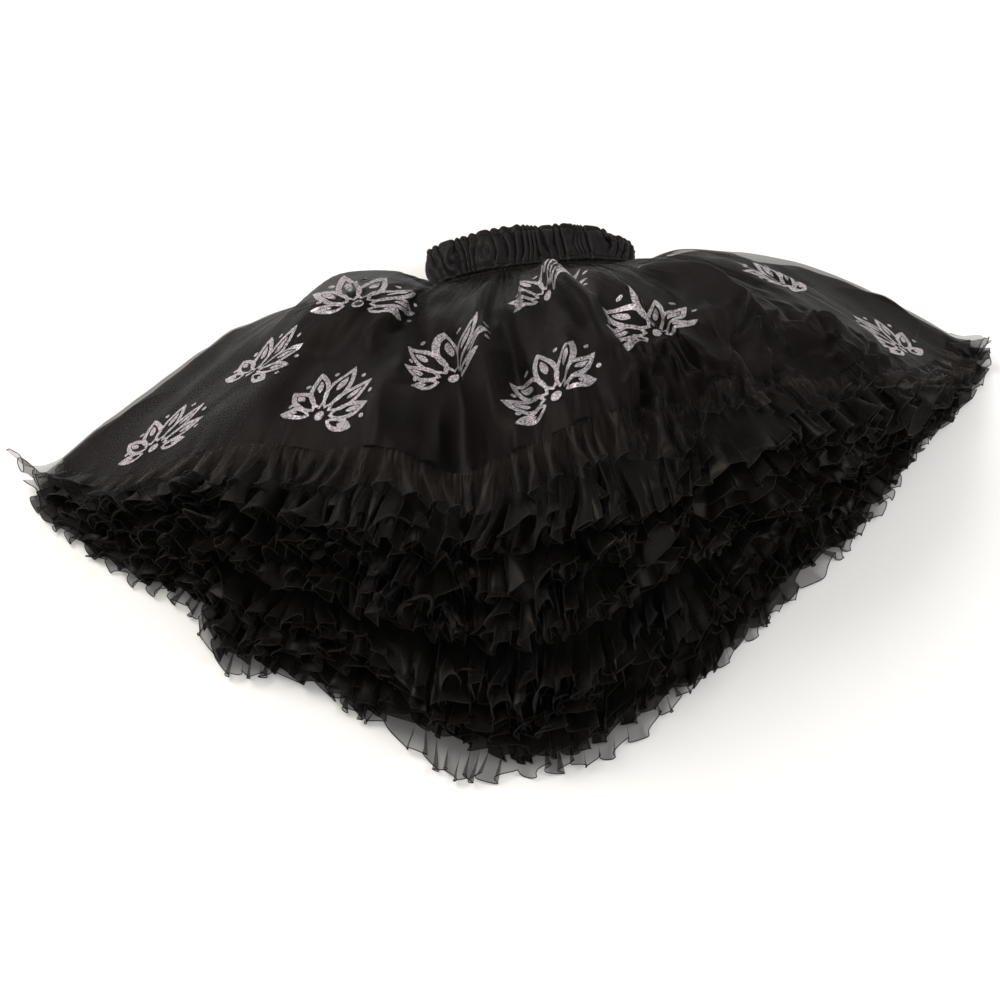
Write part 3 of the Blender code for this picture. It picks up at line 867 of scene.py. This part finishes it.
# %% A point of a ruffle
def ruffle_point(strip, across, down):
    """across goes along the seam from 0 to 1, and down from the root at 0 to the free edge."""
    seat, is_trim = strip["seat"], strip["kind"] == "trim"
    on_top, on_floor = seat == len(STACK) - 1, seat == 0
    layer, half = STACK[seat]
    bearing = side_of(layer) * (2.0 * across - 1.0)
    bearing = bearing + side_shift(layer, bearing, 1.0)
    reach = layer_reach(layer, half, bearing)
    wave = strip["waves"] * across

    def uneven(name, below=0.0, draw=wander):
        return stray(STRAYS[name], wave, below, SEEDS_PER_STRIP * strip["order"], draw)

    pushed_up = ramp(bearing, *PUSHED_RISE) * ramp(bearing, *PUSHED_FALL) * on_top
    soft = TRIM_SOFT[0] + TRIM_SOFT[1] * pushed_up if is_trim else 1.0
    tip = ramp(np.abs(bearing), *TIP_AT) if is_trim else 0.0
    hem = strip["past"] - TUCKED[seat] + soft * uneven("hem") + tip * (TIP_REACH + uneven("tip"))
    first, last = 1.0 - strip["root"] / reach, 1.0 + hem / reach
    run = mix(first, last, down)
    opened = down ** OPENING_POWER

    # The loops: their phase, their depth in the room that there is, and their overhang.
    phase = math.tau * (wave + uneven("turn")) + soft * uneven("bend", down) * down
    calm = TRIM_CALM if is_trim else ease(CALM_MIDDLE + stretch(CALM, bearing, strip))
    size = (SMALLEST_LOOP + LOOP_RANGE * calm) * (1.0 + uneven("size"))
    space = ROOM_SHARE * room(layer, half, bearing) + ROOM_MORE
    depth = np.minimum(strip["depth"], space) * size * opened
    swing = np.sin(phase) + RIPPLE * np.sin(RIPPLE_PACE * phase + 1.0) * down ** 3
    pitch = 2 * side_of(layer) / strip["waves"] * math.pi / 180 * reach
    lean = LOOP_LEAN * (1.0 + uneven("lean")) * opened

    # Out of the cloth.
    flip = np.maximum(0.0, uneven("flip")) * soft * down ** 3
    fine = (FINE_DEPTH[0] + FINE_DEPTH[1] * soft) * uneven("fine", down, crumple) * opened
    flop = soft * stretch(FLOP_OUT, bearing, strip) * np.minimum(1.0, space / FLOP_ROOM) * opened
    lift = depth * swing + strip["drop"] * opened * np.minimum(1.0, space / DROP_ROOM)
    lift = lift + flop + flip + fine
    if on_top:
        flare = np.where(bearing < 0.0, LEFT_FLARE, RIGHT_FLARE) + uneven("flare")
        lift = lift + tip * down ** 2 * flare + bunched(bearing, run)
    if on_floor:
        lift = LOWEST_SWING * (depth * (1.0 + swing) + flip) + LOWEST_FINE * np.abs(fine)
    lift = lift + GATHER_SIZE * np.sin(GATHERS_PER_LOOP * phase) * (1.0 - down) ** 2

    # Along the hem, and down past it.
    slide = -pitch * lean * np.sin(2.0 * phase) + soft * uneven("slip", down) * down
    slide = slide + stretch(FLOP_ALONG, bearing, strip) * opened ** 1.4 * (1.0 - TIP_STEADY * tip)
    drawn = DRAWN_IN * opened * np.cos(phase + uneven("drawn")) - FLIP_DRAW * flip

    along, downward, out = directions(layer, half, bearing, run)
    points = layer_point(layer, half, bearing, run) + out * lift[..., None]
    points = points + along * slide[..., None] + downward * drawn[..., None]
    height = points[..., 2]
    bounced = FLOOR_CLEARANCE + FLOOR_BOUNCE * (FLOOR_CLEARANCE - height)
    points[..., 2] = np.where(height < FLOOR_CLEARANCE, bounced, height)
    return points


# %% The rolled hem along a strip's free edge
ROLL_RADIUS = 0.36
ROLL_SIDES = 3
ROLL_NUDGE = 0.2  # step to feel the edge's direction, in the sheet's columns
ROLL_INSIDE = 0.97


def rolled_hem(name, strip, columns):
    """A fine tube along the free edge, where the organza is rolled and overlocked."""

    def place(across, down):
        edge = np.ones_like(across)
        centre = ruffle_point(strip, across, edge)
        nudge = ROLL_NUDGE / columns
        ahead = ruffle_point(strip, np.clip(across + nudge, 0, 1), edge)
        behind = ruffle_point(strip, np.clip(across - nudge, 0, 1), edge)
        inner = ruffle_point(strip, across, ROLL_INSIDE * edge)
        way = unit(ahead - behind)
        outer = centre - inner
        outer = unit(outer - way * np.sum(outer * way, axis=-1, keepdims=True))
        side = np.cross(way, outer)
        turn = (math.tau * down)[..., None]
        return centre + ROLL_RADIUS * (outer * np.cos(turn) + side * np.sin(turn))

    piece = cloth_sheet(name, columns, ROLL_SIDES, place, closed=True)[0]
    piece.data.materials.append(cloths["edge_thread"])
    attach(piece, "root")
    return piece


# %% Make one strip with its rolled hem
def add_ruffle(strip):
    layer, half = STACK[strip["seat"]]
    is_trim = strip["kind"] == "trim"
    name = "_".join((strip["kind"], layer, half))
    columns = strip["waves"] * STEPS_PER_LOOP

    def place(across, down):
        return ruffle_point(strip, across, down)

    sheet, flat = cloth_sheet("ruffle_" + name, columns, RUFFLE_ROWS, place)
    sheet.data.materials.append(cloths["trim_organza" if is_trim else "ruffle_organza"])
    roll = rolled_hem("rolled_hem_" + name, strip, columns)
    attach(sheet, "root")
    if is_trim:
        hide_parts("overskirt_trim_" + half)
    if strip["kind"] == "flounce":
        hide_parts("flounce_" + layer + "_" + half)
    print(sheet.name, "cut:", round(flat[1]), "by", round(flat[0]), "mm")
    return len(sheet.data.polygons) + len(roll.data.polygons)


# %% Make the ruffles
ruffle_faces = 0
order = 0
for seat, (layer, half) in enumerate(STACK):
    for values in (TRIMS if layer == "overskirt" else FLOUNCES):
        strip = dict(zip(STRIP_COLUMNS, values), seat=seat, order=order)
        ruffle_faces += add_ruffle(strip)
        order += 1
print("faces in the ruffles:", ruffle_faces)

# %% [markdown]
# ## The glitter print
#
# The overskirt carries a silver glitter print: openwork fans of pointed petals, in staggered rows.
# A shader could draw them, but a fan's outline has to stay sharp close up, so they are made as thin
# shapes that lie on the panel. A fan is drawn flat, petal by petal, and laid on the cloth at each
# place in a table, where it follows every fold.

# %% The glitter
def glitter_print():
    """Metal flakes, each with a shade, a roughness and a tilt of its own."""
    material, nodes, links = new_material("silver_glitter")
    shader = nodes["Principled BSDF"]
    shader.inputs["Metallic"].default_value = 0.75
    where = add_node(nodes, "ShaderNodeTexCoord")
    flakes = add_node(nodes, "ShaderNodeTexVoronoi", scale=1500.0)
    shades = two_shades(nodes, (0.12, 0.105, 0.112), 0.15, (0.62, 0.57, 0.60), 0.95)
    split = add_node(nodes, "ShaderNodeSeparateColor")
    rough = add_node(nodes, "ShaderNodeMapRange", to_min=0.25, to_max=0.6)
    bump = add_node(nodes, "ShaderNodeBump", strength=0.9, distance=0.0004)
    wire(links, (where, "Object", flakes, "Vector"), (flakes, "Color", split, "Color"),
         (split, "Red", shades, "Fac"), (split, "Green", rough, "Value"),
         (split, "Blue", bump, "Height"), (shades, "Color", shader, "Base Color"),
         (rough, "Result", shader, "Roughness"), (bump, "Normal", shader, "Normal"))
    return material


glitter = glitter_print()

# %% One fan, drawn flat in millimetres
PETAL_COLUMNS = ("turn", "near", "length", "width")
PETALS = (
    (0, 7, 45, 16), (33, 7, 42, 15), (-33, 7, 42, 15), (64, 7, 36, 13), (-64, 7, 36, 13),
    (96, 7, 28, 10), (-96, 7, 28, 10),
)
LINE_WIDTH = 3.1
PETAL_STEPS, DOT_SIDES = 20, 14
ROOT_INSET, TIP_INSET, SIDE_INSET = 0.8, 1.8, 2.0  # how each part moves with the line's inner edge
PETAL_SKEW, PETAL_FULLNESS = 0.85, 0.8
HEART_ROOT, HEART_TIP, HEART_WIDTH = 0.40, 0.76, 0.30


def petal_edge(petal, share, inwards):
    """A point of a pointed petal's outline; inwards moves it towards the petal's middle."""
    near = petal["near"] + ROOT_INSET * inwards
    length = petal["length"] - TIP_INSET * inwards
    width = np.maximum(petal["width"] - SIDE_INSET * inwards, 0.0)
    side = np.where(share < 0.5, 1.0, -1.0)
    out = np.where(share < 0.5, 2 * share, 2 - 2 * share)
    y = mix(near, length, out)
    x = side * width / 2 * np.sin(math.pi * out ** PETAL_SKEW) ** PETAL_FULLNESS
    turn = math.radians(petal["turn"])
    return np.stack([x * math.cos(turn) + y * math.sin(turn),
                     y * math.cos(turn) - x * math.sin(turn)], axis=-1)


def heart_of(petal):
    """The small filled petal inside an open one."""
    span = petal["length"] - petal["near"]
    return dict(petal, near=petal["near"] + HEART_ROOT * span,
                length=petal["near"] + HEART_TIP * span, width=HEART_WIDTH * petal["width"])


# %% Places of the fans on the front and back panels
FAN_PLACE_COLUMNS = ("half", "bearing", "run", "turn")
FAN_PLACES = (
    ("front", -47, 0.40, 10), ("front", -3, 0.39, -12), ("front", 58, 0.50, 8),
    ("front", -57, 0.64, -14), ("front", -24, 0.60, 14), ("front", 16, 0.65, 8),
    ("front", -62, 0.85, 16), ("front", -42, 0.80, -10), ("front", -5, 0.79, 10),
    ("front", 61, 0.84, -8),
    ("back", -55, 0.60, 10), ("back", -45, 0.88, -8), ("back", -33, 0.50, 16),
    ("back", -22, 0.78, -14), ("back", -9, 0.46, 6), ("back", 2, 0.84, -6),
    ("back", 14, 0.56, 12), ("back", 26, 0.84, -12), ("back", 38, 0.52, 8), ("back", 52, 0.80, -10),
)
PRINT_PROUD, BACK_PRINT_HEIGHT = 0.35, 0.12
FEEL_RUN, FEEL_BEARING = 0.01, 0.5


def on_panel(row, flat):
    """Lay flat points on the overskirt, round the place that a row gives."""
    half, turn = row["half"], math.radians(row["turn"])
    x = flat[:, 0] * math.cos(turn) - flat[:, 1] * math.sin(turn)
    y = flat[:, 0] * math.sin(turn) + flat[:, 1] * math.cos(turn)
    centre, run = np.array([float(row["bearing"])]), np.array([float(row["run"])])
    here = layer_point("overskirt", half, centre, run)
    further = layer_point("overskirt", half, centre, run + FEEL_RUN)
    runs = run - y / (np.linalg.norm(further - here) / FEEL_RUN)
    straight = layer_point("overskirt", half, np.full_like(runs, centre[0]), runs)
    sideways = layer_point("overskirt", half, np.full_like(runs, centre[0] + FEEL_BEARING), runs)
    bearings = centre + x / (np.linalg.norm(sideways - straight, axis=-1) / FEEL_BEARING)
    points = panel_point("overskirt", half, bearings, runs, OVERSKIRT_SEEDS[half])
    if half == "back":
        points[:, 2] = BACK_PRINT_HEIGHT
        return points
    return points + directions("overskirt", half, bearings, runs)[2] * PRINT_PROUD


# %% Lay one fan
ROUNDEL, ROUNDEL_AT = 3.6, (0.0, 1.5)
BEAD = 1.7
GAP_TURN, BEAD_SHARE = 16.0, 0.90  # where a dot stands beside its petal's tip
LAST_PETAL = -96


def lay(points, row, flat):
    for point, place in zip(points, on_panel(row, flat)):
        point.co = place * MM


def lay_petal(form, row, petal, line_width):
    """Draw one petal as a line of that width and lay it on the cloth."""
    new = bmesh.ops.create_grid(form, x_segments=PETAL_STEPS, y_segments=2, size=1.0)["verts"]
    share = np.array([(point.co.x + 1) / 2 for point in new])
    inwards = np.array([(point.co.y + 1) / 2 for point in new]) * line_width
    lay(new, row, petal_edge(petal, share, inwards))


def lay_dot(form, row, centre, radius):
    ring = bmesh.ops.create_circle(form, cap_ends=True, segments=DOT_SIDES, radius=radius)["verts"]
    flat = np.array([[point.co.x, point.co.y] for point in ring]) + np.array(centre)
    lay(ring, row, flat)


def lay_fan(form, row):
    lay_dot(form, row, ROUNDEL_AT, ROUNDEL)
    for columns in PETALS:
        petal = dict(zip(PETAL_COLUMNS, columns))
        heart = heart_of(petal)
        lay_petal(form, row, petal, LINE_WIDTH)
        lay_petal(form, row, heart, heart["width"] / 2)
        if petal["turn"] > LAST_PETAL:
            away, aside = BEAD_SHARE * petal["length"], math.radians(GAP_TURN - petal["turn"])
            lay_dot(form, row, (away * math.sin(aside), away * math.cos(aside)), BEAD)


# %% Lay every fan
prints = bmesh.new()
for place in FAN_PLACES:
    lay_fan(prints, dict(zip(FAN_PLACE_COLUMNS, place)))
fans = put("glitter_fans", finished(prints, "glitter_fans"))
fans.data.shade_smooth()
fans.data.materials.append(glitter)
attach(fans, "root")
print("fans:", len(FAN_PLACES), "with", len(fans.data.polygons), "faces")

# %% [markdown]
# ## The studio
#
# The skirt lies on a pale floor. A wide soft light from the upper left shapes the folds. Weaker
# ones from the right and the front keep the black from closing up, and a pale sky does the rest.


# %% Floor
FLOOR_HALF = 3.0


def plain_floor():
    form = bmesh.new()
    bmesh.ops.create_grid(form, x_segments=2, y_segments=2, size=FLOOR_HALF)
    floor = put("studio_floor", finished(form, "studio_floor"))
    material, nodes, _ = new_material("pale_floor")
    nodes["Principled BSDF"].inputs["Base Color"].default_value = (0.90, 0.89, 0.87, 1.0)
    nodes["Principled BSDF"].inputs["Roughness"].default_value = 0.85
    floor.data.materials.append(material)


plain_floor()


# %% Lights
LIGHT_AIM = (0.0, 0.0, 0.05)


def soft_light(name, place, size, power, colour):
    data = bpy.data.lights.new(name, "AREA")
    data.size, data.energy, data.color = size, power, colour
    lamp = put(name, data)
    lamp.location = place
    lamp.rotation_euler = (Vector(LIGHT_AIM) - Vector(place)).to_track_quat("-Z", "Y").to_euler()


soft_light("key_light", (-1.0, 0.9, 1.5), 1.1, 29.0, (1.0, 0.96, 0.92))
soft_light("side_light", (1.3, -0.2, 1.1), 0.8, 10.0, (0.97, 0.98, 1.0))
soft_light("front_light", (-0.2, -1.6, 1.3), 1.2, 4.0, (1.0, 0.98, 0.96))
world = bpy.data.worlds.new("studio_air")
world.use_nodes = True
air = world.node_tree.nodes["Background"]
air.inputs["Color"].default_value = (1.0, 0.99, 0.97, 1.0)
air.inputs["Strength"].default_value = 0.66
bpy.context.scene.world = world
bpy.context.scene.view_settings.view_transform = "Standard"

# %% Camera, at the photograph's angle
CAMERA_AZIMUTH, CAMERA_ELEVATION = -8.0, 60.0
CAMERA_DISTANCE = 1.0
CAMERA_LENS, SENSOR_WIDTH = 56.0, 36.0
AIM_X, AIM_Y, AIM_Z = -50.0, -181.0, 30.0  # from the middle of the waist seam, in millimetres
aim = Vector((WAIST_X + AIM_X, WAIST_Y + AIM_Y, AIM_Z)) * MM
azimuth, elevation = math.radians(CAMERA_AZIMUTH), math.radians(CAMERA_ELEVATION)
back = Vector((math.sin(azimuth) * math.cos(elevation), -math.cos(azimuth) * math.cos(elevation),
               math.sin(elevation)))
lens = bpy.data.cameras.new("camera")
lens.lens = CAMERA_LENS
lens.sensor_width = SENSOR_WIDTH
camera = put("camera", lens)
camera.location = aim + back * CAMERA_DISTANCE
camera.rotation_euler = (-back).to_track_quat("-Z", "Y").to_euler()
bpy.context.scene.camera = camera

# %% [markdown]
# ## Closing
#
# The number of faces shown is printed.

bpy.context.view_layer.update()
shown = [o.data for o in bpy.data.objects if o.type == "MESH" and not o.hide_render]
print("faces shown:", sum(len(mesh.polygons) for mesh in shown))
